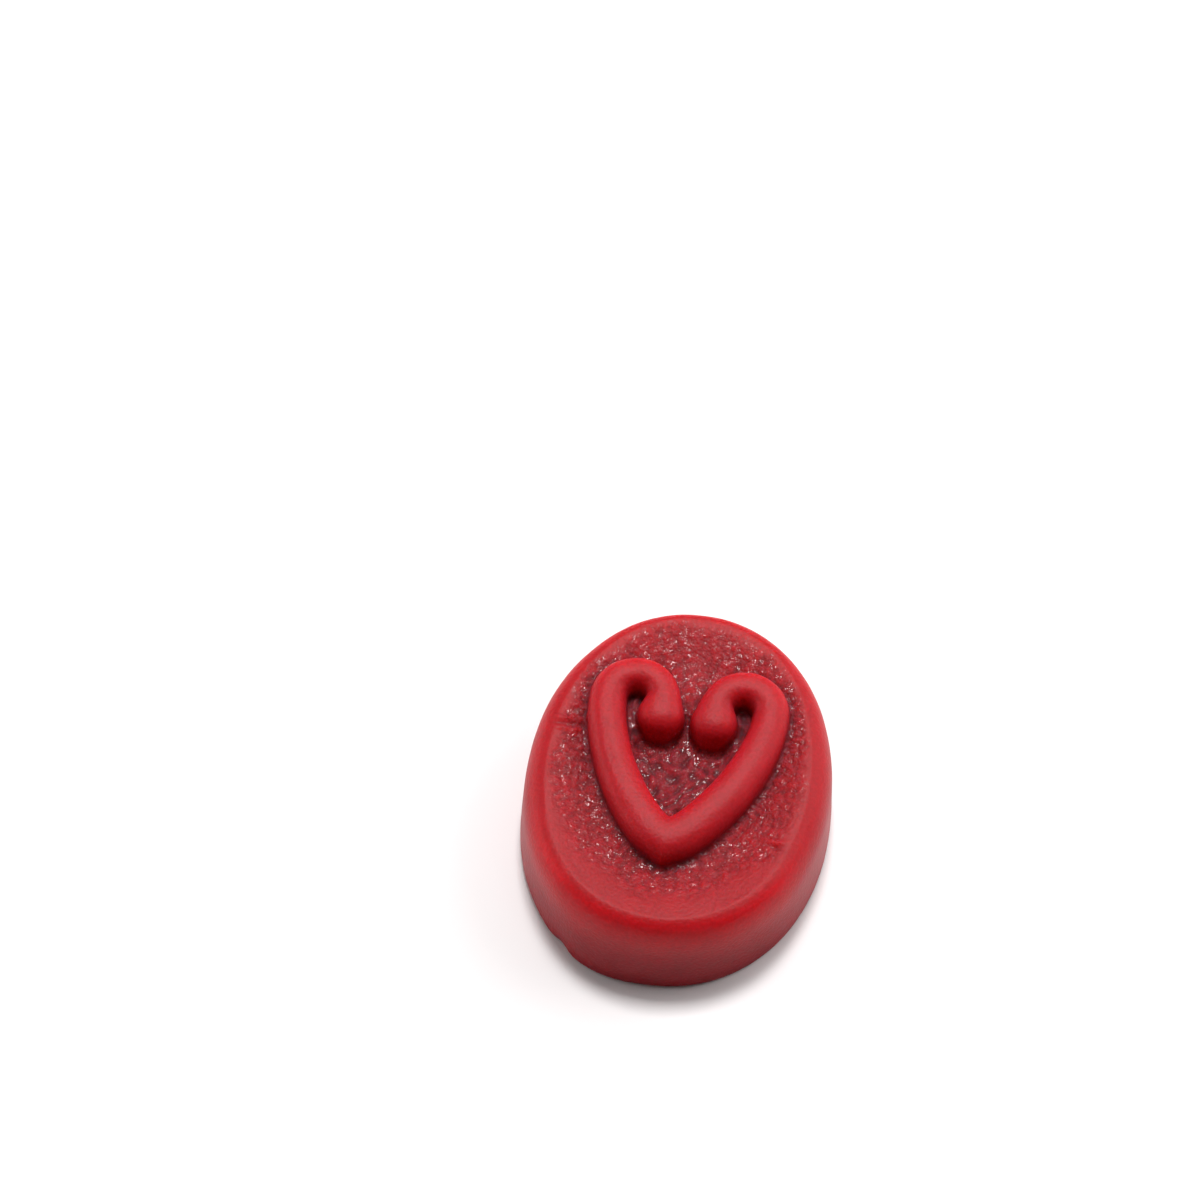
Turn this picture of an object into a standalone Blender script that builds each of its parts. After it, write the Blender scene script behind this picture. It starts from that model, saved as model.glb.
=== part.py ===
"""Moulded licorice medallion: an oval sweet with a scroll heart raised on its dished face.

Lengths are in metres and +Z is up. The origin is the middle of the flat base, the long
axis of the oval lies along Y, and the point of the heart looks towards -Y.
"""

import math

import bmesh
import bpy
from mathutils import Vector

MM = 0.001

# The oval body
BASE_WIDTH = 21.6 * MM
BASE_LENGTH = 27.6 * MM
OVAL_POWER = 2.1
OVAL_UNEVENNESS = 0.006
OVAL_SHIFT = OVAL_UNEVENNESS * BASE_LENGTH / 2.0
RIM_HEIGHT = 6.5 * MM
DRAFT_AT_SIDES = 0.2 * MM
DRAFT_AT_ENDS = 0.7 * MM
FOOT_RADIUS = 0.2 * MM
RIM_INSET = 1.55 * MM
RIM_DROP = 2.8 * MM

# The face inside the rim: a shallow dish, and a deeper floor inside the heart
DISH_DEPTH = 0.6 * MM
DISH_RUN = 3.2 * MM
FLOOR_DEPTH = 0.5 * MM
FLOOR_MIDDLE_Y = 0.1 * MM
FLOOR_WIDTH = 8.0 * MM
FLOOR_LENGTH = 9.0 * MM
FLOOR_FLAT_SHARE = 0.75

# The heart's centre line, given for its right half
HEART_HALF_WIDTH = 5.7 * MM
HEART_NOTCH_Y = -4.0 * MM
HEART_SHOULDER_Y = 4.6 * MM
NOTCH_RADIUS = 0.2 * MM
TIP_SLOPE = math.radians(44.0)
TIP_SHARPNESS = 0.4
FLANK_LOWER_PULL = 3.0 * MM
FLANK_UPPER_PULL = 3.4 * MM
BALL_X = 1.85 * MM
BALL_DROP = 1.0 * MM

# The bead that follows it, slimmer towards its two ball ends
BEAD_WIDTH = 3.2 * MM
SLIM_WIDTH = 2.4 * MM
BEAD_TOP = 7.8 * MM
BEAD_CORE_HEIGHT = 5.6 * MM
BEAD_POWER = 2.8
BALL_RADIUS = 1.7 * MM
BALL_NECK = 1.8 * MM

# How finely each form is divided
OVAL_SIDES = 96
FOOT_STEPS = 2
WALL_STEPS = 3
RIM_STEPS = 6
FACE_STEPS = 14
BEAD_SIDES = 20
TIP_STEPS = 5
FLANK_STEPS = 16
LOBE_STEPS = 14
NECK_STEPS = 4
BALL_STEPS = 6

LICORICE_RED = (0.46, 0.026, 0.03, 1.0)
LICORICE_ROUGHNESS = 0.38


def clear_scene():
    """Remove whatever the file opened with."""
    for thing in list(bpy.data.objects):
        bpy.data.objects.remove(thing, do_unlink=True)


def smooth_step(share):
    """Ease from 0 to 1 with level ends."""
    held = min(1.0, max(0.0, share))
    return held * held * (3.0 - 2.0 * held)


def signed_power(value, power):
    """Raise the size of a number to a power and keep its sign."""
    return math.copysign(abs(value) ** power, value)


def licorice_material():
    """Satin red of set licorice paste."""
    material = bpy.data.materials.new("licorice_red")
    material.use_nodes = True
    shader = material.node_tree.nodes["Principled BSDF"]
    shader.inputs["Base Color"].default_value = LICORICE_RED
    shader.inputs["Roughness"].default_value = LICORICE_ROUGHNESS
    shader.inputs["Metallic"].default_value = 0.0
    return material


def oval_point(half_width, half_length, angle, height):
    """One point of a slightly uneven oval."""
    swell = 1.0 - OVAL_UNEVENNESS * math.sin(3.0 * angle)
    x = half_width * swell * signed_power(math.cos(angle), 2.0 / OVAL_POWER)
    y = half_length * swell * signed_power(math.sin(angle), 2.0 / OVAL_POWER)
    return Vector((x, y - OVAL_SHIFT, height))


def oval_ring(half_width, half_length, height):
    """A full ring of points at one height."""
    return [
        oval_point(half_width, half_length, math.tau * side / OVAL_SIDES, height)
        for side in range(OVAL_SIDES)
    ]


def foot_and_wall_rings():
    """Rings from the edge of the base, round the foot and up the leaning wall."""
    half_width = BASE_WIDTH / 2.0
    half_length = BASE_LENGTH / 2.0
    rings = []
    for step in range(FOOT_STEPS + 1):
        turn = math.pi / 2.0 * step / FOOT_STEPS
        inset = FOOT_RADIUS * (1.0 - math.sin(turn))
        height = FOOT_RADIUS * (1.0 - math.cos(turn))
        rings.append(oval_ring(half_width - inset, half_length - inset, height))
    wall_height = RIM_HEIGHT - RIM_DROP - FOOT_RADIUS
    for step in range(1, WALL_STEPS + 1):
        share = step / WALL_STEPS
        width = half_width - DRAFT_AT_SIDES * share
        length = half_length - DRAFT_AT_ENDS * share
        rings.append(oval_ring(width, length, FOOT_RADIUS + wall_height * share))
    return rings


def rim_rings():
    """Rings over the rounded edge, from the top of the wall to the crown of the rim."""
    half_width = BASE_WIDTH / 2.0 - DRAFT_AT_SIDES
    half_length = BASE_LENGTH / 2.0 - DRAFT_AT_ENDS
    rings = []
    for step in range(1, RIM_STEPS + 1):
        turn = math.pi / 2.0 * step / RIM_STEPS
        inset = RIM_INSET * (1.0 - math.cos(turn))
        height = RIM_HEIGHT - RIM_DROP * (1.0 - math.sin(turn))
        rings.append(oval_ring(half_width - inset, half_length - inset, height))
    return rings


def floor_drop(x, y):
    """How much deeper the face is at a place inside the heart."""
    across = x / (FLOOR_WIDTH / 2.0)
    along = (y - FLOOR_MIDDLE_Y) / (FLOOR_LENGTH / 2.0)
    reach = math.hypot(across, along)
    return FLOOR_DEPTH * smooth_step((1.0 - reach) / (1.0 - FLOOR_FLAT_SHARE))


def face_rings():
    """Rings of the dished face, from just inside the crown to its middle."""
    half_width = BASE_WIDTH / 2.0 - DRAFT_AT_SIDES - RIM_INSET
    half_length = BASE_LENGTH / 2.0 - DRAFT_AT_ENDS - RIM_INSET
    rings = []
    for step in range(1, FACE_STEPS):
        share = step / FACE_STEPS
        dish = DISH_DEPTH * smooth_step(half_width * share / DISH_RUN)
        flat = oval_ring(half_width * (1.0 - share), half_length * (1.0 - share), 0.0)
        rings.append([
            Vector((point.x, point.y, RIM_HEIGHT - dish - floor_drop(point.x, point.y)))
            for point in flat
        ])
    return rings


def section(centre, across, half_width, half_height):
    """One closed section of the bead, upright across its centre line."""
    ring = []
    for side in range(BEAD_SIDES):
        angle = math.tau * side / BEAD_SIDES
        place = centre + across * half_width * signed_power(math.cos(angle), 2.0 / BEAD_POWER)
        rise = half_height * signed_power(math.sin(angle), 2.0 / BEAD_POWER)
        ring.append(Vector((place.x, place.y, BEAD_CORE_HEIGHT + rise)))
    return ring


def outward(turn):
    """Direction from the notch, turned from straight down the heart towards its right flank."""
    return Vector((math.sin(turn), -math.cos(turn)))


def tip_sections():
    """Sections round the right half of the heart's point, fanned about the notch inside it."""
    notch = Vector((0.0, HEART_NOTCH_Y))
    full_reach = NOTCH_RADIUS + BEAD_WIDTH
    rings = []
    for step in range(TIP_STEPS):
        turn = TIP_SLOPE * step / TIP_STEPS
        corner = 1.0 / math.cos(TIP_SLOPE - turn) - 1.0
        reach = full_reach * (1.0 + TIP_SHARPNESS * corner)
        centre = notch + outward(turn) * (reach + NOTCH_RADIUS) / 2.0
        half_width = (reach - NOTCH_RADIUS) / 2.0
        rings.append(section(centre, outward(turn), half_width, BEAD_TOP - BEAD_CORE_HEIGHT))
    return rings


def flank_points():
    """The flank: one Bezier curve from the point up to the shoulder of the lobe."""
    notch = Vector((0.0, HEART_NOTCH_Y))
    start = notch + outward(TIP_SLOPE) * (NOTCH_RADIUS + BEAD_WIDTH / 2.0)
    slope = Vector((math.cos(TIP_SLOPE), math.sin(TIP_SLOPE)))
    lower_handle = start + slope * FLANK_LOWER_PULL
    end = Vector((HEART_HALF_WIDTH, HEART_SHOULDER_Y))
    upper_handle = end - Vector((0.0, FLANK_UPPER_PULL))
    points = []
    for step in range(FLANK_STEPS + 1):
        share = step / FLANK_STEPS
        rest = 1.0 - share
        points.append(
            start * rest ** 3
            + lower_handle * 3.0 * rest ** 2 * share
            + upper_handle * 3.0 * rest * share ** 2
            + end * share ** 3
        )
    return points


def lobe_points():
    """The half circle over the lobe, from the shoulder to above the ball."""
    radius = (HEART_HALF_WIDTH - BALL_X) / 2.0
    middle = Vector((BALL_X + radius, HEART_SHOULDER_Y))
    points = []
    for step in range(1, LOBE_STEPS + 1):
        turn = math.pi * step / LOBE_STEPS
        points.append(middle + radius * Vector((math.cos(turn), math.sin(turn))))
    return points


def ball_points():
    """The straight drop to the middle of the ball, and on to its far side."""
    points = []
    for step in range(1, NECK_STEPS + 1):
        points.append(Vector((BALL_X, HEART_SHOULDER_Y - BALL_DROP * step / NECK_STEPS)))
    for step in range(1, BALL_STEPS + 1):
        reach = BALL_RADIUS * math.sin(math.pi / 2.0 * step / BALL_STEPS)
        points.append(Vector((BALL_X, HEART_SHOULDER_Y - BALL_DROP - reach)))
    return points


def rounded(past, power):
    """Share of the full size at a distance past the middle of the ball."""
    share = min(1.0, max(0.0, past / BALL_RADIUS))
    return (1.0 - share ** power) ** (1.0 / power)


def arm_sections():
    """Sections of the right arm of the bead, from the start of the flank to the ball end."""
    line = flank_points() + lobe_points() + ball_points()
    lengths = [0.0]
    for before, after in zip(line, line[1:]):
        lengths.append(lengths[-1] + (after - before).length)
    ball_at = lengths[-1] - BALL_RADIUS
    rings = [section(line[0], outward(TIP_SLOPE), BEAD_WIDTH / 2.0, BEAD_TOP - BEAD_CORE_HEIGHT)]
    for before, centre, after, length in zip(line, line[1:], line[2:], lengths[1:]):
        along = (after - before).normalized()
        across = Vector((along.y, -along.x))
        slim = (BEAD_WIDTH + (SLIM_WIDTH - BEAD_WIDTH) * min(1.0, length / ball_at)) / 2.0
        swell = 1.0 - smooth_step((ball_at - length) / BALL_NECK)
        radius = slim + (BALL_RADIUS - slim) * swell
        past = length - ball_at
        half_width = radius * rounded(past, 2.0)
        half_height = (BEAD_TOP - BEAD_CORE_HEIGHT) * rounded(past, BEAD_POWER)
        rings.append(section(centre, across, half_width, half_height))
    return rings


def bead_sections():
    """Sections of the whole bead, from the left ball round the point to the right ball."""
    right = tip_sections() + arm_sections()
    left = []
    for ring in right[1:]:
        left.append([Vector((-point.x, point.y, point.z)) for point in ring])
    return left[::-1] + right


def loft(name, rings):
    """Skin a row of equal rings, each extruded from the last, and close both ends."""
    mesh_maker = bmesh.new()
    circle = bmesh.ops.create_circle(mesh_maker, segments=len(rings[0]), radius=1.0)
    ring_verts = circle["verts"]
    first_ring = ring_verts
    for points in rings:
        if points is not rings[0]:
            edges = ring_edges(ring_verts)
            grown = bmesh.ops.extrude_edge_only(mesh_maker, edges=edges)
            fresh = {item for item in grown["geom"] if isinstance(item, bmesh.types.BMVert)}
            ring_verts = [matching_vert(vert, fresh) for vert in ring_verts]
        for vert, point in zip(ring_verts, points):
            vert.co = point
    mesh_maker.faces.new(first_ring)
    top_face = mesh_maker.faces.new(ring_verts)
    bmesh.ops.poke(mesh_maker, faces=[top_face])
    bmesh.ops.recalc_face_normals(mesh_maker, faces=mesh_maker.faces)
    mesh = bpy.data.meshes.new(name)
    mesh_maker.to_mesh(mesh)
    mesh_maker.free()
    thing = bpy.data.objects.new(name, mesh)
    bpy.context.scene.collection.objects.link(thing)
    return thing


def ring_edges(verts):
    """The edges between neighbouring points of a closed ring."""
    members = set(verts)
    edges = []
    for vert in verts:
        for edge in vert.link_edges:
            if edge.other_vert(vert) in members and edge not in edges:
                edges.append(edge)
    return edges


def matching_vert(vert, fresh):
    """The new point that an extruded point is joined to."""
    for edge in vert.link_edges:
        other = edge.other_vert(vert)
        if other in fresh:
            return other
    raise ValueError("no new point was extruded here")


def fuse(body, pieces):
    """Join the pieces to the body with one union, and remove them."""
    tools = bpy.data.collections.new("to_fuse")
    bpy.context.scene.collection.children.link(tools)
    for piece in pieces:
        bpy.context.scene.collection.objects.unlink(piece)
        tools.objects.link(piece)
    union = body.modifiers.new("fuse", "BOOLEAN")
    union.operation = "UNION"
    union.operand_type = "COLLECTION"
    union.collection = tools
    union.solver = "EXACT"
    bpy.context.view_layer.objects.active = body
    bpy.ops.object.modifier_apply(modifier=union.name)
    for piece in pieces:
        bpy.data.objects.remove(piece, do_unlink=True)
    bpy.data.collections.remove(tools)


def build_medallion():
    """The whole sweet as one closed solid."""
    medallion = loft("licorice_medallion", foot_and_wall_rings() + rim_rings() + face_rings())
    fuse(medallion, [loft("heart_bead", bead_sections())])
    medallion.data.materials.clear()
    medallion.data.materials.append(licorice_material())
    medallion.data.shade_smooth()
    return medallion


clear_scene()
build_medallion()
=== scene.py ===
"""The looks of a moulded licorice medallion.

An oval of satin red paste with leaning walls, a glossy rounded rim, a leathery dished face
and a raised scroll heart round a crumpled floor. Lengths are in metres, +Z is up and the
origin is the middle of the flat base.
"""

import logging
import math
from dataclasses import dataclass
from enum import Enum

import bmesh
import bpy
import numpy as np
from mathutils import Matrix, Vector, kdtree, noise


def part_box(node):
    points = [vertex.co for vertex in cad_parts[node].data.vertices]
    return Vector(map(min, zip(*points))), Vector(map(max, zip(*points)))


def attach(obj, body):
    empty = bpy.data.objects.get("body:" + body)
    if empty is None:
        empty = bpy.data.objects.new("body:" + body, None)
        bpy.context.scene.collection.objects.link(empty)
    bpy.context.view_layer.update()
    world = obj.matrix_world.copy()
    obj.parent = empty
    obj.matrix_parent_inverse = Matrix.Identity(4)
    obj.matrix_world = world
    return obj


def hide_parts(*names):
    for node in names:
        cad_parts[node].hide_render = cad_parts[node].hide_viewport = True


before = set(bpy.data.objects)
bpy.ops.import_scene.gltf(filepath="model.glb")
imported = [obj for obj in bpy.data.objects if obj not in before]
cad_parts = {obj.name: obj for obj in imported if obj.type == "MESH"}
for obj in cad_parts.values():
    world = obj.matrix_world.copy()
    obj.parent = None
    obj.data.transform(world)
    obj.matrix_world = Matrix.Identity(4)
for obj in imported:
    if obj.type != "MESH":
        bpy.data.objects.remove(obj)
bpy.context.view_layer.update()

LOG = logging.getLogger("licorice_medallion")
MM = 0.001
NODE = "licorice_medallion"
CREASE_SETS = ((0.4, 1.0), (1.5, 1.4), (2.6, 0.8))  # direction in radians and stretch of each
CREASE_BEND = 0.9
PEBBLE_STEEPNESS = 1.7


class Layer(float, Enum):
    """Where in the noise each layer of the relief starts, so that no two of them match."""

    SWAY = 0.7
    PULL = 1.8
    PEBBLE = 2.9
    FIELD_EDGE = 3.1
    PUCKER = 4.4
    CREST_WEAR = 4.9
    RIPPLE = 5.3
    BEAD_WAVE = 6.6
    CRUMPLE = 7.7
    BEAD_DIMPLE = 8.2
    FOLD_BREAK = 8.8
    HIDE = 9.1


class Zone(Enum):
    """What the paste's material reads off the skin, each a share from 0 to 1 at every point."""

    WALL = "wall"
    FIELD = "field"
    NEAR = "near_bead"
    FLOOR = "floor"
    BEAD = "bead"
    # the bead's foot: where the moat is pressed in, and where the colour gets painted shade
    FOOT = "painted_bead_foot_shade"
    # painted shade: the grain's hollows, darkened in the colour
    HOLLOW_SHADE = "painted_hollow_shade"
    # painted glow: the rim's tilted shoulders and the bead's flanks, painted a brighter red
    EDGE = "edge"
    GLOSS = "gloss"
    GRAIN = "grain"


# --------------------------------------------------------------------------- small helpers


def linear(hex_colour: str) -> tuple[float, float, float, float]:
    """Turn an sRGB hex colour into linear red, green, blue and alpha.

    Args:
        hex_colour: Six hex digits after a hash sign.

    Returns:
        The linear colour with an alpha of 1.
    """
    channels = [int(hex_colour[place:place + 2], 16) / 255.0 for place in (1, 3, 5)]
    red, green, blue = [
        value / 12.92 if value <= 0.04045 else ((value + 0.055) / 1.055) ** 2.4
        for value in channels
    ]
    return red, green, blue, 1.0


def eased(share: np.ndarray | float) -> np.ndarray:
    """Ease a share from 0 to 1 with level ends."""
    held = np.clip(share, 0.0, 1.0)
    return held * held * (3.0 - 2.0 * held)


def signed_power(value: np.ndarray, power: float) -> np.ndarray:
    """Raise the size of each number to a power and keep its sign."""
    return np.sign(value) * np.abs(value) ** power


def rolling(points: np.ndarray, grain: float, shift: float) -> np.ndarray:
    """Smooth noise at each point, about -1 to 1, with lumps of one grain's width.

    Args:
        points: One row of x, y and z for each point.
        grain: Width of a lump.
        shift: Where in the noise to start, so that two layers differ.

    Returns:
        One number for each point.
    """
    return np.array([noise.noise(place) for place in (points / grain + shift).tolist()])


def crumpled(points: np.ndarray, grain: float, shift: float) -> np.ndarray:
    """Straight facets that meet in sharp creases.

    Args:
        points: One row of x, y and z for each point.
        grain: Width of a facet.
        shift: Where in the noise to start.

    Returns:
        One number from 0 to 1 for each point.
    """
    height = np.zeros(len(points))
    for turn, stretch in CREASE_SETS:
        along = points[:, 0] * math.cos(turn) + points[:, 1] * math.sin(turn)
        bend = CREASE_BEND * rolling(points, 1.5 * grain, shift + turn)
        phase = along / (grain * stretch) + bend
        height += np.abs(phase % 1.0 * 2.0 - 1.0)
    return height / len(CREASE_SETS)


def pebbled(points: np.ndarray, grain: float, shift: float) -> np.ndarray:
    """Flat pebbles between narrow valleys.

    Args:
        points: One row of x, y and z for each point.
        grain: Width of a pebble.
        shift: Where in the noise to start.

    Returns:
        One number from 0 to 1 for each point.
    """
    nearest = [noise.voronoi(place)[0] for place in (points / grain + shift).tolist()]
    from_valley = np.array([second - first for first, second, _, _ in nearest])
    return np.minimum(1.0, PEBBLE_STEEPNESS * from_valley)


def add_node(
    tree: bpy.types.NodeTree, kind: str, inputs: dict | None = None, **settings: object
) -> bpy.types.Node:
    """Add one node to a tree with its settings, values and links.

    Args:
        tree: The node tree.
        kind: The node's type name without its ShaderNode prefix.
        inputs: Input name or number to a value, or to the output socket that feeds it.
        settings: Properties of the node itself.

    Returns:
        The new node.
    """
    node = tree.nodes.new(f"ShaderNode{kind}")
    for name, value in settings.items():
        setattr(node, name, value)
    for key, value in (inputs or {}).items():
        if isinstance(value, bpy.types.NodeSocket):
            tree.links.new(value, node.inputs[key])
        else:
            node.inputs[key].default_value = value
    return node


# --------------------------------------------------------------------------- forms


class Loft:
    """A closed skin over a row of equal rings."""

    def __init__(self, mould: bmesh.types.BMesh) -> None:
        """Keep the bmesh that the skin is added to."""
        self.mould = mould

    def skin(self, rings: list[np.ndarray]) -> None:
        """Extrude each ring from the one before, and close both ends.

        Args:
            rings: Arrays of one shape, one row of x, y and z for each point.
        """
        circle = bmesh.ops.create_circle(self.mould, segments=len(rings[0]), radius=1.0)
        ring = circle["verts"]
        first = ring
        self._place(ring, rings[0])
        for places in rings[1:]:
            ring = self._grow(ring)
            self._place(ring, places)
        self.mould.faces.new(first[::-1])
        self.mould.faces.new(ring)

    def _grow(self, ring: list[bmesh.types.BMVert]) -> list[bmesh.types.BMVert]:
        """Extrude the open ring once.

        Args:
            ring: The points of the ring, in order.

        Returns:
            The new points in the same order.
        """
        members = set(ring)
        border = {
            edge for vert in ring for edge in vert.link_edges if edge.other_vert(vert) in members
        }
        grown = bmesh.ops.extrude_edge_only(self.mould, edges=list(border))
        fresh = {item for item in grown["geom"] if isinstance(item, bmesh.types.BMVert)}
        beside = [[edge.other_vert(vert) for edge in vert.link_edges] for vert in ring]
        return [next(other for other in others if other in fresh) for others in beside]

    @staticmethod
    def _place(ring: list[bmesh.types.BMVert], places: np.ndarray) -> None:
        """Move the ring's points to their places."""
        for vert, place in zip(ring, places):
            vert.co = place


@dataclass(frozen=True)
class OvalBody:
    """The oval sweet without its heart: foot, leaning wall, rounded rim and dished face."""

    width: float
    length: float
    power: float = 2.1
    unevenness: float = 0.006
    rim_height: float = 6.5 * MM
    draft_at_sides: float = 0.2 * MM
    draft_at_ends: float = 0.7 * MM
    foot_radius: float = 0.2 * MM
    rim_inset: float = 1.55 * MM
    rim_inset_at_ends: float = 1.15 * MM
    rim_drop: float = 2.8 * MM
    dish_depth: float = 0.6 * MM
    dish_run: float = 3.2 * MM
    floor_depth: float = 0.5 * MM
    floor_middle_y: float = 0.1 * MM
    floor_width: float = 8.0 * MM
    floor_length: float = 9.0 * MM
    floor_flat_share: float = 0.75
    sides: int = 256
    foot_steps: int = 3
    wall_steps: int = 16
    rim_steps: int = 18
    face_steps: int = 60
    blend_rounds: int = 14

    @property
    def crown_width(self) -> float:
        """Half the width at the crown of the rim."""
        return self.width / 2.0 - self.draft_at_sides - self.rim_inset

    @property
    def crown_length(self) -> float:
        """Half the length at the crown of the rim."""
        return self.length / 2.0 - self.draft_at_ends - self.rim_inset_at_ends

    @property
    def shift(self) -> float:
        """How far the uneven oval is moved to keep its box about the origin."""
        return self.unevenness * self.length / 2.0

    def inward(self, points: np.ndarray) -> np.ndarray:
        """How far each point lies inside the crown of the rim, in plan."""
        across = np.abs(points[:, 0] / self.crown_width) ** self.power
        along = np.abs((points[:, 1] + self.shift) / self.crown_length) ** self.power
        return (1.0 - (across + along) ** (1.0 / self.power)) * self.crown_width

    def face_height(self, points: np.ndarray) -> np.ndarray:
        """Height of the dished face, with the deeper floor inside the heart.

        Args:
            points: One row of x, y and z for each point.

        Returns:
            One height for each point.
        """
        across = points[:, 0] / (self.floor_width / 2.0)
        along = (points[:, 1] - self.floor_middle_y) / (self.floor_length / 2.0)
        sunk = eased((1.0 - np.hypot(across, along)) / (1.0 - self.floor_flat_share))
        dish = eased(self.inward(points) / self.dish_run)
        return self.rim_height - self.dish_depth * dish - self.floor_depth * sunk

    def rings(self) -> list[np.ndarray]:
        """Rings from the base over the foot, the wall, the rim and the face."""
        half_width = self.width / 2.0
        half_length = self.length / 2.0
        rings = []
        for turn in np.linspace(0.0, math.pi / 2.0, self.foot_steps + 1):
            inset = self.foot_radius * (1.0 - math.sin(turn))
            height = self.foot_radius * (1.0 - math.cos(turn))
            rings.append(self._ring(half_width - inset, half_length - inset, height))
        wall = self.rim_height - self.rim_drop - self.foot_radius
        for share in np.linspace(0.0, 1.0, self.wall_steps + 1)[1:]:
            aside = half_width - self.draft_at_sides * share
            along = half_length - self.draft_at_ends * share
            rings.append(self._ring(aside, along, self.foot_radius + wall * share))
        for turn in np.linspace(0.0, math.pi / 2.0, self.rim_steps + 1)[1:]:
            aside = self.crown_width + self.rim_inset * math.cos(turn)
            along = self.crown_length + self.rim_inset_at_ends * math.cos(turn)
            height = self.rim_height - self.rim_drop * (1.0 - math.sin(turn))
            rings.append(self._ring(aside, along, height))
        self._blend(rings)
        for share in np.linspace(1.0, 0.0, self.face_steps, endpoint=False)[1:]:
            face = self._ring(self.crown_width * share, self.crown_length * share, 0.0)
            face[:, 2] = self.face_height(face)
            rings.append(face)
        return rings

    def _blend(self, rings: list[np.ndarray]) -> None:
        """Ease the leaning wall into the rounded rim, with the foot and the crown held.

        Args:
            rings: The rings from the base to the crown, which are changed in place.
        """
        start = self.foot_steps + 1
        for _ in range(self.blend_rounds):
            before = rings[start - 1:-2]
            after = rings[start + 1:]
            held = rings[start:-1]
            rings[start:-1] = [
                (low + 2.0 * ring + high) / 4.0 for low, ring, high in zip(before, held, after)
            ]

    def _ring(self, half_width: float, half_length: float, height: float) -> np.ndarray:
        """One level ring of the oval.

        Args:
            half_width: Half its size along X.
            half_length: Half its size along Y.
            height: Its Z.

        Returns:
            One row for each point.
        """
        angle = np.linspace(0.0, math.tau, self.sides, endpoint=False)
        swell = 1.0 - self.unevenness * np.sin(3.0 * angle)
        across = half_width * swell * signed_power(np.cos(angle), 2.0 / self.power)
        along = half_length * swell * signed_power(np.sin(angle), 2.0 / self.power) - self.shift
        return np.stack([across, along, np.full_like(across, height)], axis=1)


@dataclass(frozen=True)
class Station:
    """One place along the bead: its centre, its level direction across, half width and rise."""

    centre: Vector
    across: Vector
    half_width: float
    rise: float


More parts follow.
